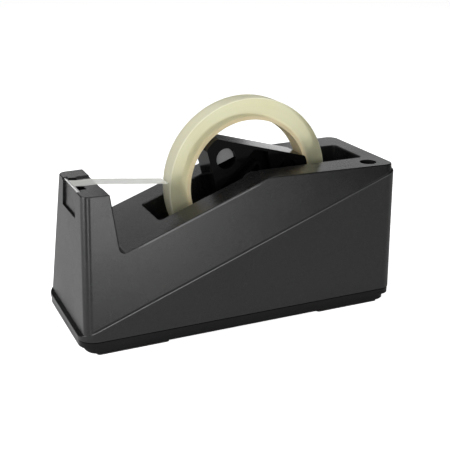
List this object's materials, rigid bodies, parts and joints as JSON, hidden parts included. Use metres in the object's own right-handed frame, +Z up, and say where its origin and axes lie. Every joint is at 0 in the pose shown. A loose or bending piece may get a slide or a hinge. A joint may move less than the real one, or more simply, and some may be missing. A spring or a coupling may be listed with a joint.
{
  "type": "desktop tape dispenser",
  "caption": "Weighted desktop tape dispenser with a toothed cutter on its front tower, a lift-out spindle with a lobed hub and a roll of clear tape in a deep well.",
  "frame": {"origin": "centre of the base's footprint, on the surface the dispenser stands on", "axes": "+X along the length, from the cutter towards the rear; +Y across, towards the far side; +Z up"},
  "size_m": [0.2, 0.081, 0.1294],
  "materials": {
    "case_plastic": "charcoal black, semi-gloss, fine grain",
    "base_plastic": "charcoal black, semi-gloss",
    "carrier_plastic": "charcoal black, semi-gloss",
    "cradle_plastic": "black, satin",
    "ballast_iron": "as cast, painted grey",
    "screw_steel": "zinc plated",
    "pad_rubber": "black, matt, ribbed",
    "blade_steel": "bright strip",
    "tape_film": "clear film, glossy",
    "rod_steel": "ground",
    "shoe_plastic": "black, satin",
    "hub_plastic": "black, glossy",
    "bush_plastic": "dark grey acetal, satin",
    "core_card": "pale orange-cream wound card",
    "tape_wound": "pale cream-green wound clear film, translucent"
  },
  "bodies": {
    "housing": {"casing": "case_plastic", "base_plate": "base_plastic", "ballast_slab": "ballast_iron", "base_screws": "screw_steel", "front_foot_pad": "pad_rubber", "rear_foot_pad": "pad_rubber", "cutter_carrier": "carrier_plastic", "cutter_blade": "blade_steel", "tape_strand": "tape_film", "near_cradle": "cradle_plastic", "far_cradle": "cradle_plastic"},
    "spindle": {"spindle_rod": "rod_steel", "near_spindle_shoe": "shoe_plastic", "far_spindle_shoe": "shoe_plastic"},
    "reel": {"hub_near_half": "hub_plastic", "hub_far_half": "hub_plastic", "near_hub_bush": "bush_plastic", "far_hub_bush": "bush_plastic", "tape_core": "core_card", "tape_roll": "tape_wound"}
  },
  "joints": [
    {"name": "spindle_lift", "type": "slide", "parent": "housing", "child": "spindle", "axis": [0, 0, 1], "range_m": [0, 0.08]},
    {"name": "hub_spin", "type": "hinge", "parent": "spindle", "child": "reel", "pos_m": [0.0163, 0, 0.0784], "axis": [0, 1, 0], "continuous": true}
  ]
}
